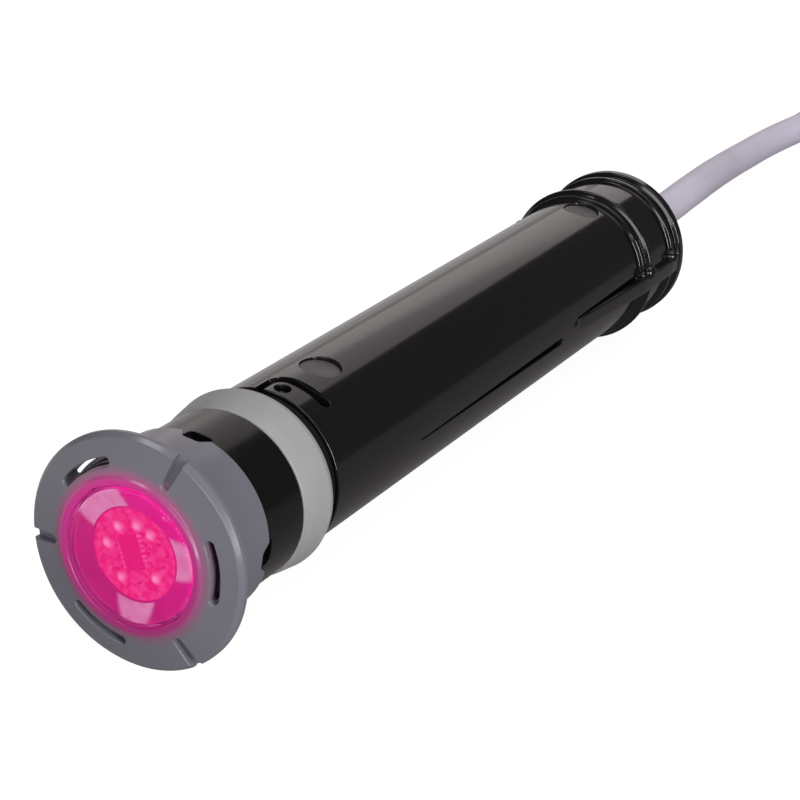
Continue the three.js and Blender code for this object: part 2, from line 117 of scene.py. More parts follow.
def stacked(name, rings):
    """Closed solid through rings of equally many points, with a cap on the first and the last ring."""
    count = len(rings[0])
    faces = [list(range(count)), [(len(rings) - 1) * count + i for i in range(count)]]
    for k in range(len(rings) - 1):
        for i in range(count):
            j = (i + 1) % count
            faces.append([k * count + i, k * count + j, (k + 1) * count + j, (k + 1) * count + i])
    return mesh_object(name, [point for ring in rings for point in ring], faces)


class Outline:
    """Closed outline of (radius, y, rounding) corners for a turned piece, and its normals.

    The front runs outwards, the outside runs back and the inside comes forward again.
    """

    def __init__(self, corners, arc_steps=5):
        corners = [tuple(c) + (0,) * (3 - len(c)) for c in corners]
        points, marks, normals = [], [], []
        for i, (r, y, rounding) in enumerate(corners):
            here = np.array((r, y), float)
            before = here - np.array(corners[i - 1][:2], float)
            after = np.array(corners[(i + 1) % len(corners)][:2], float) - here
            before /= np.linalg.norm(before)
            after /= np.linalg.norm(after)
            turn = math.atan2(before[0] * after[1] - before[1] * after[0], before @ after)
            if rounding <= 0 or abs(turn) < 0.01:
                points.append(here)
                marks.append(-1)
                normals.append(np.zeros(2))
                continue
            side = math.copysign(1, turn)
            start = here - before * rounding * math.tan(abs(turn) / 2)
            out = np.array((before[1], -before[0]))
            centre = start - side * out * rounding
            for k in range(arc_steps + 1):
                a = turn * k / arc_steps
                normal = np.array((
                    out[0] * math.cos(a) - out[1] * math.sin(a),
                    out[0] * math.sin(a) + out[1] * math.cos(a),
                ))
                points.append(centre + side * normal * rounding)
                marks.append(i)
                normals.append(normal)
        self.points = np.array(points)
        following = np.roll(self.points, -1, axis=0)
        edge = following - self.points
        edge /= np.linalg.norm(edge, axis=1)[:, None]
        flat = np.stack((edge[:, 1], -edge[:, 0]), axis=1)
        marks = np.array(marks)
        on_arc = ((marks >= 0) & (marks == np.roll(marks, -1)))[:, None]
        normals = np.array(normals)
        self.starts = np.where(on_arc, normals, flat)
        self.ends = np.where(on_arc, np.roll(normals, -1, axis=0), flat)

    def normals_at(self, r, y, edge):
        """Normals in the (radius, y) plane at points that lie on the given edges."""
        a = self.points[edge]
        d = np.roll(self.points, -1, axis=0)[edge] - a
        t = np.clip(((r - a[:, 0]) * d[:, 0] + (y - a[:, 1]) * d[:, 1]) / (d ** 2).sum(1), 0, 1)[:, None]
        normal = self.starts[edge] * (1 - t) + self.ends[edge] * t
        return normal / np.linalg.norm(normal, axis=1)[:, None]

    def nearest_edge(self, r, y):
        """The edge that each (radius, y) point lies on."""
        a = self.points[None]
        d = np.roll(self.points, -1, axis=0)[None] - a
        p = np.stack((r, y), axis=1)[:, None]
        t = np.clip(((p - a) * d).sum(2) / (d ** 2).sum(2), 0, 1)[..., None]
        return (((p - a - t * d) ** 2).sum(2)).argmin(1)


def turned(name, outline, segments=SEGMENTS):
    """The outline turned round the light's axis."""
    points, faces, rings = [], [], []
    for r, y in outline.points:
        if r < 1e-6:
            points.append((0, y, 0))
            rings.append([len(points) - 1] * segments)
            continue
        rings.append([len(points) + j for j in range(segments)])
        for j in range(segments):
            a = 2 * math.pi * j / segments
            points.append((r * math.cos(a), y, r * math.sin(a)))
    for i, ring in enumerate(rings):
        following = rings[(i + 1) % len(rings)]
        for j in range(segments):
            k = (j + 1) % segments
            corners = [ring[j], following[j], following[k], ring[k]]
            corners = [v for n, v in enumerate(corners) if v != corners[n - 1]]
            if len(corners) > 2:
                faces.append(corners)
    return mesh_object(name, points, faces)


def joined(pieces):
    """Several meshes as one object."""
    first = pieces[0]
    bm = bmesh.new()
    for piece in pieces:
        bm.from_mesh(piece.data)
    bm.to_mesh(first.data)
    bm.free()
    for piece in pieces[1:]:
        bpy.data.objects.remove(piece)
    return first


SKIN = bpy.data.materials.new("skin")
CUT = bpy.data.materials.new("cut")


def combine(piece, tools, operation):
    """Cuts the tools from a piece, or adds them. Faces that come from a tool keep the CUT material."""
    if not piece.data.materials:
        piece.data.materials.append(SKIN)
    tool = joined(tools)
    tool.data.materials.clear()
    tool.data.materials.append(CUT)
    modifier = piece.modifiers.new("combine", "BOOLEAN")
    modifier.operation = operation
    modifier.solver = "EXACT"
    modifier.material_mode = "TRANSFER"
    modifier.object = tool
    bpy.context.view_layer.update()
    result = bpy.data.meshes.new_from_object(piece.evaluated_get(bpy.context.evaluated_depsgraph_get()))
    piece.modifiers.clear()
    piece.data = result
    bpy.data.objects.remove(tool)


def read_array(items, field, kind, width=1):
    """One field of all of a mesh's items, as an array."""
    values = np.zeros(len(items) * width, kind)
    items.foreach_get(field, values)
    return values.reshape(-1, width).astype(float) if width > 1 else values


def finish_surface(piece, outline, crease_deg=38):
    """Smooth shading: exact normals on the turned surface, and creases where a tool's faces meet it."""
    mesh = piece.data
    mesh.update()
    mesh.shade_smooth()
    mesh.set_sharp_from_angle(angle=math.radians(crease_deg))
    tool_slots = [i for i, material in enumerate(mesh.materials) if material == CUT]
    from_tool = np.isin(read_array(mesh.polygons, "material_index", np.int32), tool_slots)
    starts = read_array(mesh.polygons, "loop_start", np.int32)
    totals = read_array(mesh.polygons, "loop_total", np.int32)
    corner_vertex = read_array(mesh.loops, "vertex_index", np.int32)
    corner_edge = read_array(mesh.loops, "edge_index", np.int32)
    face_of = np.repeat(np.arange(len(totals)), totals)

    tool_here = from_tool[face_of]
    tool_sides = np.bincount(corner_edge, tool_here, len(mesh.edges))
    own_sides = np.bincount(corner_edge, ~tool_here, len(mesh.edges))
    border = (tool_sides > 0) & (own_sides > 0)
    mesh.edges.foreach_set("use_edge_sharp", read_array(mesh.edges, "use_edge_sharp", bool) | border)
    mesh.update()

    smooth_normals = read_array(mesh.corner_normals, "vector", np.float32, 3)
    back = np.array(LIGHT.inverted())
    points = read_array(mesh.vertices, "co", np.float32, 3) @ back[:3, :3].T + back[:3, 3]
    corners = points[corner_vertex]
    r = np.hypot(corners[:, 0], corners[:, 2])
    a = np.arctan2(corners[:, 2], corners[:, 0])
    y = corners[:, 1]
    edge = outline.nearest_edge(np.add.reduceat(r, starts) / totals, np.add.reduceat(y, starts) / totals)
    flat = outline.normals_at(r, y, edge[face_of])
    exact = np.stack((flat[:, 0] * np.cos(a), flat[:, 1], flat[:, 0] * np.sin(a)), axis=1) @ np.array(TURN).T
    keep_smooth = tool_here | (r < 1e-4)
    mesh.normals_split_custom_set(np.where(keep_smooth[:, None], smooth_normals, exact).tolist())
    mesh.polygons.foreach_set("material_index", np.zeros(len(mesh.polygons), np.int32))
    mesh.materials.clear()


# ---------------------------------------------------------------- cutting tools

def loop_of(*stretches):
    """One closed loop of 2-D points from several stretches of points."""
    points = [p for stretch in stretches for p in stretch]
    return np.array([p for i, p in enumerate(points) if np.hypot(*(np.subtract(p, points[i - 1]))) > 1e-6])


def arc(cx, cy, r, start_deg, end_deg, steps=8):
    """Points on an arc."""
    angles = np.radians(np.linspace(start_deg, end_deg, steps + 1))
    return [(cx + r * math.cos(a), cy + r * math.sin(a)) for a in angles]


def grown(loop, distance):
    """A counterclockwise loop with its outline moved outwards."""
    before = loop - np.roll(loop, 1, axis=0)
    after = np.roll(loop, -1, axis=0) - loop
    before /= np.linalg.norm(before, axis=1)[:, None]
    after /= np.linalg.norm(after, axis=1)[:, None]
    along = before + after
    along /= np.linalg.norm(along, axis=1)[:, None]
    out = np.stack((along[:, 1], -along[:, 0]), axis=1)
    stretch = np.clip((before * along).sum(1), 0.5, 1)[:, None]
    return loop + out * distance / stretch


def carver(loop, place, floor, rounding, lift=1.5, inward=False):
    """Solid with the loop as its outline, from the floor up through a surface, with a rounded mouth.

    place(point, height) is the point that lies at that height above the surface and floor(point) the one on
    the floor. Inward makes the mouth close in, so that a solid that is kept gets a rounded edge.
    """
    side = -1 if inward else 1
    rings = [[floor(p) for p in loop]]
    arc_end = math.radians(78)                 # the mouth's arc stops here and runs on straight
    proud = 0.02 * rounding
    for a in np.linspace(0, arc_end, 6):
        offset = rounding * (1 - math.cos(a))
        height = rounding * (math.sin(a) - 1)
        rings.append([place(p, height) for p in grown(loop, side * offset)])
    rise = rounding * (1 - math.sin(arc_end)) + proud
    offset = rounding * (1 - math.cos(arc_end)) + rise * math.tan(arc_end)
    for height in (proud, lift):
        rings.append([place(p, height) for p in grown(loop, side * offset)])
    return stacked("carver", rings)


def on_barrel(radius, clock):
    """Placing for loops drawn on a cylinder round a clock angle: arc length across and y along."""
    def place(p, height):
        a = math.radians(clock) + p[0] / radius
        return ((radius + height) * math.cos(a), p[1], (radius + height) * math.sin(a))
    return place


def clocked(point, clock):
    """A point drawn at clock angle 90, on top of the light, swung to another clock angle."""
    x, z = swung(point[0], point[2], clock - KEY_CLOCK)
    return (x, point[1], z)


def stadium(length, width, x=0.0, y=0.0, taper=0.0):
    """Long slot with round ends along y. A taper narrows its near end by that share of its width."""
    near, far = width / 2 * (1 - taper), width / 2
    half = length / 2
    return loop_of(
        arc(x, y - half + near, near, 180, 360),
        arc(x, y + half - far, far, 0, 180),
    )


# ---------------------------------------------------------------- materials

def shader(name, color, roughness, sockets=None):
    """A new material with one Principled shader."""
    material = bpy.data.materials.new(name)
    material.use_nodes = True
    bsdf = bsdf_of(material)
    bsdf.inputs["Base Color"].default_value = (*color[:3], 1)
    bsdf.inputs["Roughness"].default_value = roughness
    for socket, value in (sockets or {}).items():
        bsdf.inputs[socket].default_value = value
    return material


def node(material, kind, inputs=None, **settings):
    """A new node with its input values and settings."""
    made = material.node_tree.nodes.new(kind)
    for key, value in settings.items():
        setattr(made, key, value)
    for socket, value in (inputs or {}).items():
        made.inputs[socket].default_value = value
    return made


def link(material, source, target):
    """Joins an output socket to an input socket."""
    material.node_tree.links.new(source, target)


def bsdf_of(material):
    """The material's Principled shader."""
    return material.node_tree.nodes["Principled BSDF"]


def noise(material, scale, detail):
    """Noise over the piece's own place, in cycles a metre."""
    where = node(material, "ShaderNodeTexCoord")
    texture = node(material, "ShaderNodeTexNoise", {"Scale": scale, "Detail": detail})
    link(material, where.outputs["Object"], texture.inputs["Vector"])
    return texture.outputs["Fac"]


def ranged(material, value, low, high, to_low, to_high):
    """A value mapped from one range to another."""
    limits = {"From Min": low, "From Max": high, "To Min": to_low, "To Max": to_high}
    made = node(material, "ShaderNodeMapRange", limits)
    link(material, value, made.inputs["Value"])
    return made.outputs["Result"]


def mixed(material, fac, first, second):
    """Colour mixed from two colours or sockets."""
    made = node(material, "ShaderNodeMix", data_type="RGBA")
    link(material, fac, made.inputs["Factor"])
    for socket, color in ((made.inputs[6], first), (made.inputs[7], second)):
        if isinstance(color, tuple):
            socket.default_value = (*color[:3], 1)
        else:
            link(material, color, socket)
    return made.outputs[2]


def add_bump(material, height, strength, distance):
    """Bump on the shader's normal."""
    bump = node(material, "ShaderNodeBump", {"Strength": strength, "Distance": distance})
    link(material, height, bump.inputs["Height"])
    link(material, bump.outputs["Normal"], bsdf_of(material).inputs["Normal"])


def moulded(name, color, roughness, grain=900, depth=0.00004, spread=0.15, sockets=None, strength=0.3):
    """Moulded plastic or rubber: fine grain in bump and roughness, and a little slow colour change."""
    material = shader(name, color, roughness, sockets)
    bsdf = bsdf_of(material)
    slow = ranged(material, noise(material, 35, 3), 0.3, 0.7, 0, 1)
    darker = tuple(c * (1 - spread) for c in color[:3])
    lighter = tuple(min(1, c * (1 + spread)) for c in color[:3])
    link(material, mixed(material, slow, darker, lighter), bsdf.inputs["Base Color"])
    fine = noise(material, grain, 5)
    uneven = ranged(material, fine, 0.3, 0.7, roughness * 0.85, roughness * 1.2)
    link(material, uneven, bsdf.inputs["Roughness"])
    add_bump(material, fine, strength, depth)
    return material


def from_seat(material):
    """Way from the seat's middle to the piece's own place, as a socket."""
    where = node(material, "ShaderNodeTexCoord")
    way = node(material, "ShaderNodeVectorMath", {1: SEAT}, operation="SUBTRACT")
    link(material, where.outputs["Object"], way.inputs[0])
    return way.outputs[0]


def off_axis(material):
    """Distance from the light's axis in metres, as a socket."""
    cross = node(material, "ShaderNodeVectorMath", {1: ALONG}, operation="CROSS_PRODUCT")
    length = node(material, "ShaderNodeVectorMath", operation="LENGTH")
    link(material, from_seat(material), cross.inputs[0])
    link(material, cross.outputs[0], length.inputs[0])
    return length.outputs["Value"]


def towards(material, clock):
    """Distance from the light's axis along one clock angle, in metres, as a socket."""
    x, z = swung(1, 0, clock)
    dot = node(material, "ShaderNodeVectorMath", {1: ACROSS * x + UPWARDS * z}, operation="DOT_PRODUCT")
    link(material, from_seat(material), dot.inputs[0])
    return dot.outputs["Value"]


BLACK = (0.0055, 0.0050, 0.0049)
BEZEL_GREY = (0.158, 0.157, 0.187)


def gloss_black():
    """Glossy moulded black: clear reflections with slight orange peel."""
    return moulded("gloss_black", BLACK, 0.12, grain=260, depth=0.00002, spread=0.1, strength=0.03)


def neck_black():
    """The same black on the neck, a little softer in its reflections."""
    return moulded(
        "neck_black", tuple(c * 0.8 for c in BLACK), 0.19, grain=260, depth=0.00002, spread=0.1,
        sockets={"Specular IOR Level": 0.36}, strength=0.12,
    )


def bezel_grey():
    """Moulded mid grey with a painted glow of the lamp's light round the lens, stronger towards the top."""
    material = moulded("bezel_grey", BEZEL_GREY, 0.21, grain=380, depth=0.00002, spread=0.04, strength=0.06)
    bsdf = bsdf_of(material)
    # Painted glow: the lamp's magenta light is painted into the base colour and emission near the lens, stronger
    # towards clock 100.
    away = off_axis(material)
    painted_glow = node(material, "ShaderNodeMath", {1: 2.0}, operation="POWER")
    link(material, ranged(material, away, 0.0200, 0.0246, 1, 0), painted_glow.inputs[0])
    grey = bsdf.inputs["Base Color"].links[0].from_socket
    link(material, mixed(material, painted_glow.outputs[0], grey, (0.12, 0.02, 0.085)), bsdf.inputs["Base Color"])
    bsdf.inputs["Emission Color"].default_value = (0.62, 0.022, 0.24, 1)
    share = node(material, "ShaderNodeMath", operation="MULTIPLY")
    link(material, painted_glow.outputs[0], share.inputs[0])
    link(material, ranged(material, towards(material, 100), -0.022, 0.020, 0.3, 0.72), share.inputs[1])
    link(material, share.outputs[0], bsdf.inputs["Emission Strength"])
    return material


def lit(name, tones, scale, gradient=None, mask=None, roughness=0.5):
    """Lamp piece with its own magenta light painted on: a dark surface whose painted glow is mottled between two
    tones.

    The gradient is a clock angle and the tone that side takes, a painted brighter side, and the mask is the tone
    of masked points.
    """
    sockets = {"Emission Strength": 1.0, "Specular IOR Level": 0.1}
    material = shader(name, (0.01, 0.002, 0.004), roughness, sockets)
    speckle = noise(material, scale, 3)
    color = mixed(material, ranged(material, speckle, 0.38, 0.66, 0, 1), tones[0], tones[1])
    if gradient:
        clock, tone = gradient
        share = ranged(material, towards(material, clock), -0.002, 0.017, 0, 1)
        color = mixed(material, share, color, tone)
    if mask:
        attribute = node(material, "ShaderNodeAttribute", attribute_name="mask")
        blotch = ranged(material, noise(material, 260, 2), 0.35, 0.6, 0.72, 1)
        amount = node(material, "ShaderNodeMath", operation="MULTIPLY")
        link(material, attribute.outputs["Fac"], amount.inputs[0])
        link(material, blotch, amount.inputs[1])
        color = mixed(material, amount.outputs[0], color, mask)
    # The emission is painted lamp light on every piece but the LEDs themselves: it stands for the LEDs' light
    # falling on the piece.
    link(material, color, bsdf_of(material).inputs["Emission Color"])
    return material


MATERIALS = {
    "black_gloss": gloss_black(),
    "bezel_grey": bezel_grey(),
    "black_matt": moulded("black_matt", (0.008, 0.008, 0.008), 0.6, sockets={"Specular IOR Level": 0.12}),
    "seal_rubber": moulded("seal_rubber", (0.02, 0.02, 0.02), 0.7),
    "silicone": moulded(
        "silicone", (0.335, 0.333, 0.332), 0.48, grain=700, depth=0.00005, spread=0.08, sockets={
            "Subsurface Weight": 0.15, "Subsurface Scale": 0.003, "Subsurface Radius": (0.5, 0.46, 0.44),
        },
    ),
    "relief_rubber": moulded("relief_rubber", (0.60, 0.56, 0.67), 0.45, grain=1200),
    "cable_jacket": moulded("cable_jacket", (0.66, 0.61, 0.74), 0.4, grain=700, spread=0.05),
}

RECORD_COLORS = {m["slot"]: m for m in frame["record"]["materials"]}
METALS = ("aluminium", "brushed_steel", "brass", "chrome")


def slot_material(slot):
    """The material of a record slot, made from the record's colour and class if it has none yet."""
    if slot not in MATERIALS:
        entry = RECORD_COLORS[slot]
        metal = entry["class"] in METALS
        sockets = {"Metallic": 1.0} if metal else None
        roughness = 0.3 if metal else 0.5
        MATERIALS[slot] = moulded(slot, entry["base_color"], roughness, sockets=sockets)
    return MATERIALS[slot]


def place_piece(piece, body, slot, *nodes, material=None):
    """Gives a piece its material, made from its slot unless a material is given, puts it on its body and hides the
    CAD nodes that it stands for.
    """
    piece.data.materials.clear()
    piece.data.materials.append(material or slot_material(slot))
    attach(piece, body)
    if nodes:
        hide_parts(*nodes)
    return piece


# ---------------------------------------------------------------- bezel

FRONT_CONE = ((21.2, -6.25), (30.4, -4.6))     # radius and y at the inner and outer edge of the flat front
SLOT_INNER_R = 23.2
SLOT_OUTER_R = 25.6
SLOT_HALF_DEG = 17


def bezel_front(p, height):
    """Placing for loops drawn on the bezel's slightly conical front."""
    (inner_r, inner_y), (outer_r, outer_y) = FRONT_CONE
    share = (math.hypot(*p) - inner_r) / (outer_r - inner_r)
    return (p[0], inner_y + (outer_y - inner_y) * share - height, p[1])


def bezel_slot(clock):
    """Arc slot right through the flange, drawn as its two long arcs and two round ends."""
    middle, end = (SLOT_INNER_R + SLOT_OUTER_R) / 2, (SLOT_OUTER_R - SLOT_INNER_R) / 2
    start, stop = clock - SLOT_HALF_DEG, clock + SLOT_HALF_DEG
    loop = loop_of(
        arc(0, 0, SLOT_OUTER_R, start, stop, 28),
        arc(*swung(middle, 0, stop), end, stop, stop + 180),
        arc(0, 0, SLOT_INNER_R, stop, start, 28),
        arc(*swung(middle, 0, start), end, start + 180, start + 360),
    )
    return carver(loop, bezel_front, lambda p: (p[0], 1.5, p[1]), 0.35)


def bezel_groove(clock):
    """Blind radial groove from a round end near the lens out over the edge, with a sloping floor."""
    near, far, half = 23.9, 34, 1.15
    loop = loop_of([(half, near), (1.7, far)], [(-1.7, far), (-half, near)], arc(0, near, half, 180, 360, 10))
    loop = np.array([swung(*p, clock - KEY_CLOCK) for p in loop])

    def sloping_floor(p):
        out = swung(*p, KEY_CLOCK - clock)[1]
        return (p[0], -4.2 + 0.27 * (out - 22.7), p[1])

    return carver(loop, bezel_front, sloping_floor, 0.3)


def collar_notch(clock):
    """Notch in the collar's back edge, with rounded shoulders and a rounded bottom."""
    depth, shoulder = 2.9, 1.8
    loop = loop_of(
        [(4.5, COLLAR_BACK + 2), (-4.5, COLLAR_BACK + 2), (-4.5, COLLAR_BACK + 0.1)],
        [(-4.1, COLLAR_BACK - 0.3), (-3.6, COLLAR_BACK - 1.0)],
        arc(-1.4, COLLAR_BACK - depth + shoulder, shoulder, 200, 270, 5),
        arc(1.4, COLLAR_BACK - depth + shoulder, shoulder, 270, 340, 5),
        [(3.6, COLLAR_BACK - 1.0), (4.1, COLLAR_BACK - 0.3), (4.5, COLLAR_BACK + 0.1)],
    )
    barrel = on_barrel(COLLAR_R, clock)
    return carver(loop, barrel, lambda p: barrel(p, -2.5), 0.2)


def bezel_lug(clock):
    """Low rounded block that stays just under the collar's outside."""
    barrel = on_barrel(24.4, clock)
    loop = loop_of([(-2.4, 12.4), (2.4, 12.4), (2.4, 14.4), (-2.4, 14.4)])
    return carver(loop, lambda p, h: barrel(p, min(h, 0)), lambda p: barrel(p, -1.6), 0.2, inward=True)


def bezel():
    """The bezel: flange with slots and grooves, raised lip round the lens, and collar."""
    outline = Outline([
        (18.9, -3.4), (18.9, -6.9, 0.3), (20.55, -7.0, 0.5), (*FRONT_CONE[0], 0.5), (*FRONT_CONE[1], 0.6),
        (RIM_EDGE_R, -3.4, 0.5), (RIM_EDGE_R, -2.1, 0.3), (31.0, -1.7, 0.2), (25.9, -0.2, 0.6),
        (COLLAR_R, 1.0, 0.8), (COLLAR_R, COLLAR_BACK, 0.25), (NECK_R + 0.3, COLLAR_BACK, 0.1),
        (NECK_R + 0.3, -3.4),
    ])
    shell = turned("bezel_shell", outline)
    tools = []
    for i in range(3):
        clock = BEZEL_CLOCK + 120 * i
        tools += [bezel_slot(clock), bezel_groove(clock + 60)]
    tools += [collar_notch(90 * i) for i in range(4)]
    combine(shell, tools, "DIFFERENCE")
    combine(shell, [bezel_lug(LUG_CLOCK + 120 * i) for i in range(3)], "UNION")
    finish_surface(shell, outline)
    place_piece(shell, "bezel", "bezel_grey", "bezel")


bezel()


# ---------------------------------------------------------------- lamp

CHIP_CLOCK = 116               # the way the chip's long side points
CHIP_PLACE = (-0.6, 0.5)
LED_CLOCKS = (60, 92, 134, 180, 250, 330)
LED_R = 8
REFLECTOR_INNER_R = 12.7
# Heights of the lamp's pieces, as y in the light's own frame: the more negative, the nearer the lens.
BOARD_Y = -3.6
PAD_Y = -3.7
CHIP_Y = -3.95
LED_TOP_Y = -4.5
# The reflector's three paler patches of painted reflection: middle clock angle, and half the angle inside and
# outside.
REFLECTION_PATCHES = ((135, 30, 24), (17, 25, 15), (-80, 25, 13))
# Small parts on the board, each with its distance from the axis, its clock angle and its own turn.
BOARD_PARTS = (
    (5.6, 150, 20), (6.3, 112, 80), (6.8, 75, 40), (8.4, 40, 10), (9.8, 20, 60), (8.6, 0, 30), (7.4, -30, 80),
    (9.4, -50, 15), (7.6, -72, 45), (9.6, -95, 70), (8.3, -130, 25), (9.8, -155, 60), (9.9, 160, 85),
    (10.2, 110, 35),
)
BOARD_TONES = ((0.80, 0.001, 0.17), (0.87, 0.045, 0.27))


def in_painted_reflection(r, clock):
    """1 on one of the reflector's patches of painted reflection, 0 off it, with soft sides."""
    amount = 0
    share = min(max((r - REFLECTOR_INNER_R) / 4.6, 0), 1)
    for middle, inner, outer in REFLECTION_PATCHES:
        half = inner + (outer - inner) * share
        apart = abs((clock - middle + 180) % 360 - 180)
        amount = max(amount, min(max((half - apart) / 5 + 0.5, 0), 1))
    return amount * min(max((18.2 - r) / 0.6, 0), 1)


def polar_sheet(name, radii, height, thickness, steps=180, mask=None):
    """Thin round sheet that faces the front, drawn from its radii and a height at each of them."""
    points, values, rings = [], [], []
    for back in (0, 1):
        for r in (radii if not back else radii[::-1]):
            ring = []
            for j in range(steps):
                a = 2 * math.pi * j / steps
                ring.append(len(points))
                points.append((r * math.cos(a), height(r) + back * thickness, r * math.sin(a)))
                values.append(mask(r, 360 * j / steps) if mask and not back else 0.0)
            rings.append(ring)
    faces = []
    closed = radii[0] > 0
    for i in range(len(rings) if closed else len(rings) - 1):
        first, second = rings[i], rings[(i + 1) % len(rings)]
        for j in range(steps):
            k = (j + 1) % steps
            faces.append([first[j], second[j], second[k], first[k]])
    piece = mesh_object(name, points, faces)
    attribute = piece.data.attributes.new("mask", "FLOAT", "POINT")
    attribute.data.foreach_set("value", values)
    return piece


def block(width, length, height, place, swing, y):
    """Small block on the lamp board, with its long side turned to a clock angle and its edges eased."""
    bm = bmesh.new()
    bmesh.ops.create_cube(bm, size=1)
    bmesh.ops.scale(bm, vec=(width, height, length), verts=bm.verts)
    eased = 0.12 * min(width, height, length)
    bmesh.ops.bevel(bm, geom=list(bm.edges), offset=eased, segments=2, affect="EDGES")
    for v in bm.verts:
        x, z = swung(v.co.x, v.co.z, swing - 90)
        v.co = local(place[0] + x, y - height / 2 + v.co.y, place[1] + z)
    bmesh.ops.recalc_face_normals(bm, faces=bm.faces)
    mesh = bpy.data.meshes.new("block")
    bm.to_mesh(mesh)
    bm.free()
    return add_object("block", mesh)


def on_chip(u, v):
    """A point beside the chip: u across it and v along it."""
    x, z = swung(u, v, CHIP_CLOCK - 90)
    return (CHIP_PLACE[0] + x, CHIP_PLACE[1] + z)


def smooth(piece, crease_deg=35):
    """Smooth shading with creases."""
    piece.data.shade_smooth()
    piece.data.set_sharp_from_angle(angle=math.radians(crease_deg))
    return piece


def reflector():
    """Dished ring round the board, with a raised inner rim."""
    inner = REFLECTOR_INNER_R
    radii = [inner, 13.1, 13.6, 14.2, 14.8, 15.4, 16.0, 16.4, 17.0, 17.3, 17.5]

    def dish(r):
        return -4.3 - 0.9 * min((r - inner) / 3.7, 1) - max(0, r - 17.0) * 0.6

    cone = polar_sheet("reflector_cone", radii, dish, 0.35, 240, in_painted_reflection)
    corners = [(12.2, -3.9), (12.2, -4.45, 0.2), (12.72, -4.45, 0.2), (12.72, -3.9)]
    rim = turned("reflector_rim", Outline(corners), 160)
    # Painted glow: the lamp's light on the reflector is painted as emission, brighter towards clock 70, and the
    # masked patches take a paler painted reflection.
    glow = lit(
        "reflector", ((0.42, 0.002, 0.140), (0.58, 0.003, 0.190)), scale=60,
        gradient=(70, (0.70, 0.002, 0.23)), mask=(0.66, 0.215, 0.43), roughness=0.2,
    )
    place_piece(smooth(joined([cone, rim])), "housing", "reflector", "reflector", material=glow)


def board_with_chip():
    """The lamp's board, its chip with a row of pads on each side, and the small parts round it."""
    board = polar_sheet("lamp_board", [0.001, 3, 6, 9, 11, 12.15, 14, 16.8], lambda r: BOARD_Y, 1.6, 120)
    # Painted glow: the board, chip, pads and small parts are no lamps, and their emission is painted light of the
    # LEDs.
    glow = lit("lamp_board", BOARD_TONES, scale=520)
    place_piece(smooth(board), "housing", "board_white", "led_board", material=glow)

    dark = lit("lamp_parts", ((0.70, 0.001, 0.150), (0.80, 0.004, 0.195)), scale=900)
    pale = lit("lamp_pads", ((0.82, 0.03, 0.25), (0.89, 0.10, 0.34)), scale=900)
    chip_glow = lit("lamp_chip", ((0.735, 0.001, 0.165), (0.765, 0.002, 0.180)), scale=300)
    chip = block(5.2, 9.2, 1.0, CHIP_PLACE, CHIP_CLOCK, CHIP_Y)
    place_piece(smooth(chip), "housing", "chip", "control_chip", material=chip_glow)

    pitch, pads_a_side = 1.3, 7
    pads, parts = [], []
    for side in (1, -1):
        for i in range(pads_a_side):
            v = (i - pads_a_side // 2) * pitch
            pads.append(block(1.3, 0.42, 0.5, on_chip(side * 3.1, v), CHIP_CLOCK, PAD_Y))
            if i % 2 == 0:
                parts.append(block(0.55, 0.9, 0.5, on_chip(side * 4.6, v + 0.5), CHIP_CLOCK, PAD_Y))
    for r, clock, swing in BOARD_PARTS:
        parts.append(block(0.7, 1.2, 0.5, swung(r, 0, clock), swing, PAD_Y))
    place_piece(smooth(joined(pads)), "housing", "steel", material=pale).name = "lamp_pads"
    place_piece(smooth(joined(parts)), "housing", "chip", material=dark).name = "lamp_parts"


def leds():
    """Low round domes, brightest in the middle."""
    glow = lit("led", BOARD_TONES, scale=520, mask=(0.97, 0.28, 0.57), roughness=0.4)
    radii = [0.02, 0.3, 0.6, 0.9, 1.2, 1.5, 1.8, 2.0]

    def dome(r):
        return LED_TOP_Y + 0.85 * (r / 2) ** 2

    def brightness(r, _):
        return (1 + math.cos(math.pi * min(r / 1.95, 1))) / 2

    for index, clock in enumerate(LED_CLOCKS):
        x, z = swung(LED_R, 0, clock)
        led = smooth(polar_sheet("dome", radii, dome, 0.3, 48, brightness), 60)
        led.data.transform(Matrix.Translation(TURN @ Vector((x, 0, z)) * MM))
        led.name = f"led_dome_{index + 1}"
        place_piece(led, "housing", "led", f"led_{index + 1}", material=glow)


def lens():
    """Clear domed window whose edge has a painted glow of the lamp's light."""
    glass = shader("lens_clear", (1.0, 0.97, 0.99), 0.03, {
        "Transmission Weight": 1.0, "IOR": 1.27, "Coat Weight": 0.1, "Coat Roughness": 0.02,
        "Emission Color": (0.62, 0.03, 0.27, 1),
    })
    add_bump(glass, noise(glass, 60, 2), 0.08, 0.00005)
    # Painted glow: the lens's edge is given emission that stands for the lamp's light gathered in it.
    painted_rim_glow = ranged(glass, off_axis(glass), 0.0170, 0.0180, 0.03, 0.17)
    link(glass, painted_rim_glow, bsdf_of(glass).inputs["Emission Strength"])
    outline = Outline([
        (0, -7.7), (6, -7.62, 30), (12, -7.35, 20), (16.3, -6.95, 2), (16.9, -7.0, 0.4), (17.5, -6.75, 0.4),
        (18.2, -6.6, 0.4), (18.6, -6.0, 0.2), (18.6, -1.7), (21.4, -1.7), (21.4, -0.2), (17.7, -0.2),
        (17.7, -5.35, 0.3), (16.2, -5.75, 1), (12, -6.1, 20), (6, -6.3, 30), (0, -6.35),
    ], arc_steps=4)
    dome = turned("lens_dome", outline, 200)
    finish_surface(dome, outline)
    place_piece(dome, "housing", "lens_clear", "lens", material=glass)


reflector()
board_with_chip()
leds()
lens()


# ---------------------------------------------------------------- sleeve

RAIL_FRONT, RAIL_BACK = 197, 275.4
RAIL_FOOT_R = 22
RAIL_HALF_DEG = math.degrees(2.75 / 24.5)
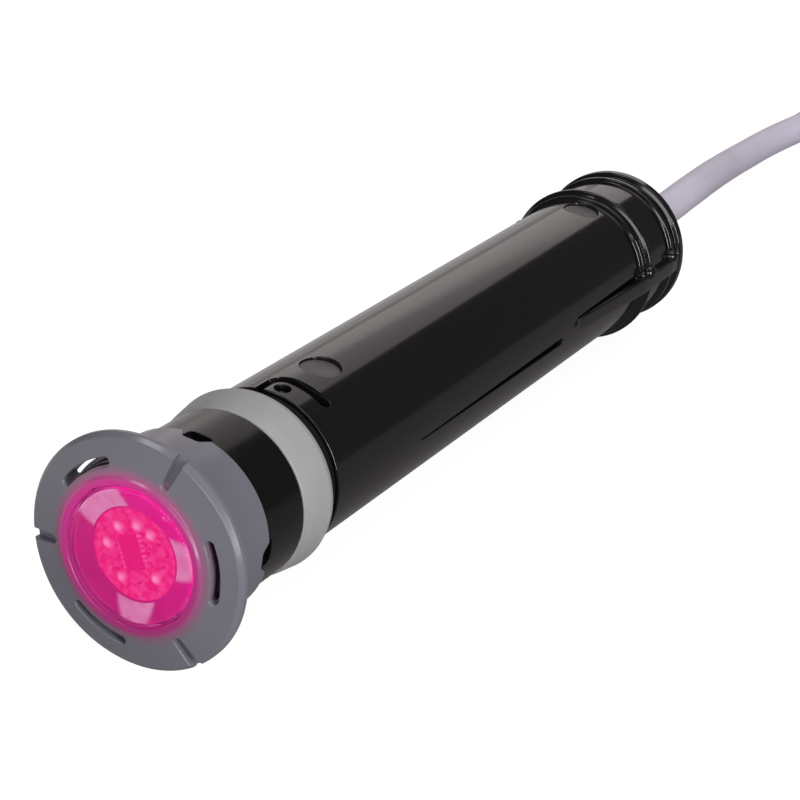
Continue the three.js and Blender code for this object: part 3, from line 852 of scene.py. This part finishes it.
# Radius, y, clock angle, boss radius and dome height of each boss on the right rail.
BOSSES = (
    (25.0, 252.0, 12.6, 2.6, 2.3), (24.3, 248.6, 12.4, 1.5, 1.2), (24.4, 271.6, 12.8, 2.4, 2.5),
    (24.7, 276.4, 12.6, 1.6, 1.5), (22.7, 198.6, 8.5, 1.5, 1.0),
)
INLAY = moulded("recess_matt", (0.085, 0.080, 0.079), 0.5, grain=1500, depth=0.00003, spread=0.06)


def rail(side):
    """Raised rail along one side of the tail, a ramp that ends level with the tail rims."""
    clock = RAIL_CLOCK if side > 0 else 180 - RAIL_CLOCK
    edge = np.linspace(0.86, 1, 4)
    across = np.concatenate((-edge[::-1], np.linspace(-0.75, 0.75, 7), edge))
    stations = np.concatenate((
        np.linspace(RAIL_FRONT, 200, 4), np.linspace(206, 248, 15), np.linspace(250, RAIL_BACK, 5),
        (276, 276.4),
    ))
    rings = []
    for y in stations:
        top = 23.0 + 2.95 * min(max((y - RAIL_FRONT) / 51, 0), 1) - 1.2 * max(0, y - RAIL_BACK) ** 2
        section = [(top - 0.5 * max(0, (abs(s) - 0.8) / 0.2) ** 2, s) for s in across]
        section += [(RAIL_FOOT_R, 1), (RAIL_FOOT_R, -1)]
        ring = []
        for r, s in section:
            x, z = swung(r, 0, clock + s * RAIL_HALF_DEG)
            ring.append((x, y, z))
        rings.append(ring)
    return stacked("rail", rings)


def boss(r, y, clock, radius, height):
    """Small rounded boss on a barrel, with its dome pointing out."""
    steps = 10
    levels = [(radius, -1.5)]
    for k in range(steps):
        a = math.pi / 2 * k / steps
        levels.append((radius * math.cos(a), height * math.sin(a)))
    rings = []
    for ring_r, rise in levels:
        circle = arc(0, y, ring_r, 0, 360, 20)[:-1]
        rings.append([clocked((across, along, r + rise), clock) for across, along in circle])
    return stacked("boss", rings)


def tongue_loops():
    """The tongue's own outline and the cut's, on the unrolled sleeve round the key clock."""
    root, tip, far = (SLEEVE_R * math.radians(clock - KEY_CLOCK) for clock in (63.4, 98.7, 105.2))
    front, tab_back, slot_back = 50.0, 60.9, 64.4
    tab_corner, cut_corner, overlap = 3.2, 5.2, 0.7
    tongue_loop = loop_of(
        [(root - overlap, front), (tip, front)],
        arc(tip - tab_corner, tab_back - tab_corner, tab_corner, 0, 90, 8),
        [(root - overlap, tab_back)],
    )
    cut = loop_of(
        [(root, front), (far, front)],
        arc(far - cut_corner, slot_back - cut_corner, cut_corner, 0, 90, 10),
        arc(root + 0.3, (tab_back + slot_back) / 2, (slot_back - tab_back) / 2, 90, 250, 8),
        [(root, tab_back - 0.05)],
    )
    return tongue_loop, cut


def sleeve():
    """The long black tube, with its tail rims, round recesses, side slots and the cut round the tab."""
    outline = Outline([
        (SLEEVE_BORE, SLEEVE_FRONT, 0.2), (SLEEVE_R, SLEEVE_FRONT, 0.4), (SLEEVE_R, 247.6, 0.8),
        (24.7, 248.5, 0.7), (24.7, 250.2, 0.35), (24.3, 250.5, 0.15), (24.9, 250.9, 0.2), (RIM_R, 251.4, 0.7),
        (RIM_R, 253.0, 0.7), (24.0, 254.2, 0.8), (24.0, 270.3, 0.8), (25.3, 271.0, 0.6), (25.3, 272.5, 0.6),
        (24.5, 273.0, 0.3), (24.5, 275.4, 0.4), (RIM_R, 276.0, 0.7), (RIM_R, SLEEVE_BACK, 0.7),
        (SLEEVE_BORE, SLEEVE_BACK, 0.4),
    ])
    shell = turned("sleeve_shell", outline)
    barrel = on_barrel(SLEEVE_R, KEY_CLOCK)
    tools = [carver(tongue_loops()[1], barrel, lambda p: barrel(p, -4), 0.15, lift=4)]

    def recess_top(p, height):
        return (-p[0], p[1], math.sqrt(SLEEVE_R ** 2 - p[0] ** 2) + height)

    for y in RECESS_YS:
        circle = loop_of(arc(0, y, RECESS_R, 0, 360, 64)[:-1])
        tools.append(carver(circle, recess_top, lambda p: (-p[0], p[1], RECESS_FLOOR), 0.25))
    long_slot = (2.5, stadium(91, 2.2, 0, 143.5, 0.85))
    tail_slot = (12.4, stadium(46, 2.0, 0, 222.5, 0.7))
    for mirror in (1, -1):
        for clock, loop in (long_slot, tail_slot):
            slot_barrel = on_barrel(SLEEVE_R, clock if mirror > 0 else 180 - clock)
            tools.append(carver(loop, slot_barrel, lambda p, b=slot_barrel: b(p, -1.9), 0.22, lift=3))
    combine(shell, tools, "DIFFERENCE")
    finish_surface(shell, outline)
    place_piece(shell, "housing", "black_gloss", "sleeve")


def tail_rail(name, side):
    """One of the tail's rails with its bosses."""
    pieces = [rail(side)]
    for r, y, clock, radius, height in BOSSES:
        pieces.append(boss(r, y, clock if side > 0 else 180 - clock, radius, height))
    piece = smooth(joined(pieces), 50)
    piece.name = name
    place_piece(piece, "housing", "black_gloss")


def recess_inlay(name, y):
    """Matt disc on the flat floor of a round recess."""
    rings = []
    for radius, height in ((5.6, -0.3), (5.6, 0.04), (5.5, 0.09), (5.2, 0.1)):
        circle = arc(0, y, radius, 0, 360, 64)[:-1]
        rings.append([(x, along, RECESS_FLOOR + height) for x, along in circle])
    place_piece(smooth(stacked(name, rings)), "housing", "black_gloss", material=INLAY)


def tongue():
    """The lock tab: a strip of the sleeve's own wall with a round hole."""
    outside, back = SLEEVE_R - 0.006, 68
    outline = Outline([
        (SLEEVE_BORE, SLEEVE_FRONT, 0.2), (outside, SLEEVE_FRONT, 0.4), (outside, back), (SLEEVE_BORE, back),
    ])
    band = turned("tab_tongue", outline)
    barrel = on_barrel(SLEEVE_R, KEY_CLOCK)

    def under(p):
        return barrel(p, -4)

    combine(band, [carver(tongue_loops()[0], barrel, under, 0.14, lift=4, inward=True)], "INTERSECT")
    hole = loop_of(arc(0, TAB_Y, TAB_HOLE_R, 0, 360, 40)[:-1])
    combine(band, [carver(hole, barrel, under, 0.25)], "DIFFERENCE")
    finish_surface(band, outline)
    place_piece(band, "tab", "black_gloss", "lock_tab")


def snap_pin():
    """Glossy domed pin, sunk in the tab's hole."""
    pin = smooth(boss(SLEEVE_R - 2.2, TAB_Y, KEY_CLOCK, 1.3, 1.15), 50)
    place_piece(pin, "housing", "dark_steel", "snap_pin", material=MATERIALS["black_gloss"])


sleeve()
tail_rail("tail_rail_right", 1)
tail_rail("tail_rail_left", -1)
for number, recess_y in enumerate(RECESS_YS):
    recess_inlay(f"recess_inlay_{number + 1}", recess_y)
tongue()
snap_pin()


# ---------------------------------------------------------------- other turned pieces

def simple_turned(name, corners, slot, cad_node, segments=SEGMENTS):
    """A turned piece of the housing with no cuts, which stands for one CAD node."""
    outline = Outline(corners)
    piece = turned(name, outline, segments)
    finish_surface(piece, outline)
    place_piece(piece, "housing", slot, cad_node)


def neck():
    """The black neck behind the bezel, with a groove and four pockets that the collar partly covers."""
    outline = Outline([
        (21.8, -3.1), (NECK_R, -3.1, 0.3), (NECK_R, 11.9, 0.1), (22.4, 11.9), (22.4, 17.9),
        (NECK_R, 17.9, 0.12), (NECK_R, 35.6, 0.35), (20.2, 35.6), (20.2, 51), (17.6, 51), (17.6, 5.3),
        (18.9, 5.3), (18.9, 1.9), (21.8, 1.9),
    ])
    piece = turned("neck_shell", outline)
    half, front, back, corner = 3.6, 12.6, 20.5, 1.2
    pocket = loop_of(
        [(half, front)], arc(half - corner, back - corner, corner, 0, 90, 4),
        arc(corner - half, back - corner, corner, 90, 180, 4), [(-half, front)],
    )
    tools = []
    for i in range(4):
        barrel = on_barrel(NECK_R, 90 * i + 0.7)
        tools.append(carver(pocket, barrel, lambda p, b=barrel: b(p, -1.45), 0.12, lift=0.7))
    combine(piece, tools, "DIFFERENCE")
    finish_surface(piece, outline)
    place_piece(piece, "housing", "black_gloss", "front_housing", material=neck_black())


def strain_relief():
    """Tapered sleeve round the cable's exit, with shallow steps down its length."""
    steps = []
    for y, r, depth in ((285, 8.2, 0.3), (291, 7.8, 0.3), (297, 7.4, 0.3), (303, 7.0, 0.2)):
        steps += [(r, y), (r - depth, y + 0.3), (r - 0.1, y + 0.9)]
    corners = [
        (6.1, 272.3), (9.4, 272.3, 0.4), (9.4, 277, 0.5), (8.6, 278.2, 0.6), *steps, (6.6, 311.5, 0.4),
        (6.1, 312),
    ]
    simple_turned("relief_cone", corners, "relief_rubber", "strain_relief", 96)


neck()
simple_turned("gasket_ring", [
    (20.5, 35.9), (23.7, 35.9, 0.5), (24.5, 39.0, 6), (25.5, 45.9, 1.6), (24.9, 47.9, 0.5), (20.5, 47.9),
], "silicone", "gasket")
simple_turned("pressure_collar", [
    (20.5, 48.2, 0.2), (22.4, 48.2, 0.3), (22.4, 50.2, 0.15), (22.0, 50.4, 0.1), (22.0, 51.2, 0.1),
    (22.4, 51.4, 0.15), (22.4, 53.1, 0.2), (20.5, 53.1),
], "black_matt", "pressure_ring")
simple_turned("capsule_shell", [
    (15.6, 44), (17.3, 44, 0.2), (17.3, 46), (16.3, 46), (16.3, 48.2), (17.3, 48.2), (17.3, 51.3),
    (20.2, 51.3, 0.2), (20.2, 250, 0.3), (18.0, 250), (18.0, 54), (15.6, 52),
], "black_matt", "capsule_tube")
simple_turned("rear_plug", [
    (6.5, 240), (17.7, 240), (17.7, 243), (16.5, 243), (16.5, 245.4), (17.7, 245.4), (17.7, 250.3),
    (20.2, 250.3, 0.2), (20.2, 255, 0.5), (11.5, 255, 0.5), (11.5, 263, 0.4), (8.8, 263), (8.8, 256.5),
    (6.5, 256.5),
], "black_matt", "rear_cap")
strain_relief()


# ---------------------------------------------------------------- cable

# The free cable's route in metres, as in the CAD part, and its way on to the hank.
CABLE_ROUTE = (
    (0, 0.160, 0.02527), (-0.0004, 0.1787, 0.0249), (-0.0015, 0.1937, 0.024), (-0.003, 0.2087, 0.0224),
    (-0.0049, 0.2237, 0.0203), (-0.007, 0.2387, 0.0178), (-0.0091, 0.2537, 0.0151),
    (-0.011, 0.2687, 0.0125), (-0.0125, 0.2837, 0.0102), (-0.0135, 0.2987, 0.0083),
    (-0.0139, 0.3137, 0.0071), (-0.0133, 0.3287, 0.0065), (-0.0119, 0.3437, 0.0063),
    (-0.0102, 0.3586, 0.0063), (-0.0105, 0.3736, 0.0066), (-0.0130, 0.386, 0.0069),
    (-0.0156, 0.396, 0.0072), (-0.0182, 0.406, 0.0074), (-0.0202, 0.416, 0.0076),
)
HANK_PLACE = Vector((0.027, 0.426, 0.0017))
HANK_RUN = 0.128
CABLE_DIAMETER = 0.012
# Each loop's fold radius, in millimetres, and its layer. Each one moves over to the next at the near fold.
LOOPS = ((48, 0), (36, 0), (36, 1), (48, 1), (48, 2), (36, 2), (36, 3), (48, 3), (48, 4), (36, 4))
PITCH = 12                     # from one layer, or one run, to the next, in millimetres
RIDE_OVER = 2.0                # how far each crossing lifts the ones above it, in millimetres
JACKET_END = 0.016


def crossing(index, share):
    """Radius and height in millimetres of a loop on its way over to the next one."""
    radius, layer = LOOPS[index]
    if index + 1 == len(LOOPS):
        return radius, PITCH * layer
    next_radius, next_layer = LOOPS[index + 1]
    share = share * share * (3 - 2 * share)
    lifted = RIDE_OVER * math.sin(math.pi * share) ** 2
    if next_layer == layer:
        return radius + (next_radius - radius) * share, PITCH * layer + lifted * layer
    # A climb rolls round the cable beside it, which moves over at the same time.
    side = -1 if radius < 42 else 1
    bend = math.radians(90 * share)
    beside = radius - PITCH * side * (1 - share)
    height = PITCH * (layer + math.sin(bend)) + lifted * (layer + 0.5)
    return beside + PITCH * side * math.cos(bend), height


def hank_points():
    """Middle line of the hank, clockwise seen from above, starting on its left run."""
    points = []
    last = len(LOOPS) - 1

    def put(x, y, height):
        points.append(HANK_PLACE + Vector((x, y, CABLE_DIAMETER / 2 + height * MM)))

    for index, (radius, layer) in enumerate(LOOPS):
        r = radius * MM
        height = PITCH * layer
        if index == last:
            put(-r, 0, height)
            put(-r, JACKET_END, height)
            break
        for y in (0, 0.25, 0.5, 0.75):
            put(-r, y * HANK_RUN, height)
        for a in range(180, 0, -15):
            x, y = swung(r, 0, a)
            put(x, HANK_RUN + y, height)
        for y in (1, 0.75, 0.5, 0.25):
            put(r, y * HANK_RUN, height)
        for a in range(0, 180, 12):
            crossing_r, height = crossing(index, a / 180)
            put(*swung(crossing_r * MM, 0, -a), height)
    return points


def cable():
    """The free cable as one smooth curve, from the strain relief to its bare end on the hank."""
    points = [Vector(p) for p in CABLE_ROUTE] + hank_points()
    curve = bpy.data.curves.new("cable", "CURVE")
    curve.dimensions = "3D"
    curve.bevel_depth = CABLE_DIAMETER / 2
    curve.bevel_resolution = 8
    curve.use_fill_caps = True
    spline = curve.splines.new("BEZIER")
    spline.bezier_points.add(len(points) - 1)
    for i, point in enumerate(points):
        knot = spline.bezier_points[i]
        before, after = points[max(i - 1, 0)], points[min(i + 1, len(points) - 1)]
        along = (after - before).normalized()
        knot.co = point
        knot.handle_left_type = knot.handle_right_type = "FREE"
        knot.handle_left = point - along * (point - before).length / 3
        knot.handle_right = point + along * (after - point).length / 3
    spline.resolution_u = 6
    piece = add_object("cable", curve)
    place_piece(piece, "housing", "cable_jacket", "power_cable", "cable_hank", "cable_end")


cable()


# ---------------------------------------------------------------- stage, lights and camera

def area_light(name, location, target, width, height, radiance, color=(1, 1, 1)):
    """Soft box of a given brightness that faces a target."""
    data = bpy.data.lights.new(name, "AREA")
    data.shape = "RECTANGLE"
    data.size, data.size_y = width, height
    data.energy = radiance * math.pi * width * height
    data.color = color
    box = add_object(name, data)
    box.location = location
    box.rotation_euler = (Vector(target) - Vector(location)).to_track_quat("-Z", "Y").to_euler()


def pale_floor():
    """Pale floor that looks white, and lights the object more softly than it looks."""
    size = 8
    corners = [(-size, -size, 0), (size, -size, 0), (size, size, 0), (-size, size, 0)]
    mesh = bpy.data.meshes.new("floor")
    mesh.from_pydata(corners, [], [(0, 1, 2, 3)])
    floor = add_object("floor", mesh)
    sockets = {"Specular IOR Level": 0.0, "Emission Strength": 1.0}
    material = shader("floor_paint", (0.9, 0.9, 0.9), 0.9, sockets)
    bsdf = bsdf_of(material)
    seen = node(material, "ShaderNodeLightPath").outputs["Is Camera Ray"]
    where = node(material, "ShaderNodeSeparateXYZ")
    link(material, node(material, "ShaderNodeTexCoord").outputs["Object"], where.inputs[0])
    left = ranged(material, where.outputs["X"], -0.04, -0.11, 0, 1)
    glow = mixed(material, left, (0.2, 0.19, 0.185), (0.6, 0.58, 0.57))
    link(material, mixed(material, seen, glow, (0.92, 0.92, 0.92)), bsdf.inputs["Emission Color"])
    paint = mixed(material, seen, (0.02, 0.02, 0.02), (0.2, 0.2, 0.2))
    link(material, paint, bsdf.inputs["Base Color"])
    mesh.materials.append(material)


def sky():
    """White world behind the object, dim as a light."""
    world = bpy.data.worlds.new("studio")
    world.use_nodes = True
    bpy.context.scene.world = world
    seen = node(world, "ShaderNodeLightPath").outputs["Is Camera Ray"]
    tone = mixed(world, seen, (0.09, 0.087, 0.085), (1, 1, 1))
    link(world, tone, world.node_tree.nodes["Background"].inputs["Color"])


def lights():
    """Upright soft boxes stacked behind and to the left, and weaker ones in front, right and above."""
    warm = (1.0, 0.89, 0.895)
    for name, low, high, radiance in (
        ("back_glow", 0.02, 0.2, 0.5), ("back_low", 0.22, 0.42, 1.0), ("back_middle", 0.42, 0.66, 1.15),
        ("back_high", 0.66, 1.25, 0.76),
    ):
        middle = (low + high) / 2
        area_light(name, (-0.75, 1.2, middle), (-0.75, 0, middle), 1.3, high - low, radiance, warm)
    area_light("front", (0.3, -1.5, 0.5), (0, -0.1, 0.03), 1.0, 0.6, 4.6)
    area_light("right", (1.0, -0.6, 0.42), (0, -0.1, 0.03), 0.22, 0.62, 24.0)
    area_light("overhead", (0.2, 0.2, 1.9), (0.1, 0.1, 0), 1.6, 1.6, 1.5)
    area_light("top_left", (-0.7, -0.8, 1.4), (0, 0, 0), 0.45, 0.45, 5.0)


def camera():
    """Camera at the object's front left, above it and looking down."""
    data = bpy.data.cameras.new("camera")
    data.sensor_width = 36
    data.lens = 96.63
    data.clip_start, data.clip_end = 0.01, 50
    right = Vector((0.85755, 0.49481, 0.14061))
    up = Vector((-0.34228, 0.34484, 0.87403))
    eye = add_object("camera", data)
    eye.matrix_world = Matrix.Translation((0.24281, -0.52785, 0.31656)) @ Matrix(
        (right, up, right.cross(up))
    ).transposed().to_4x4()
    bpy.context.scene.camera = eye


pale_floor()
sky()
lights()
camera()
bpy.context.scene.view_settings.view_transform = "Standard"

for name, body_node in frame["nodes"].items():
    slot = next(s["material_slot"] for s in frame["record"]["subparts"] if s["node"] == name)
    body_node.data.materials.clear()
    body_node.data.materials.append(slot_material(slot))
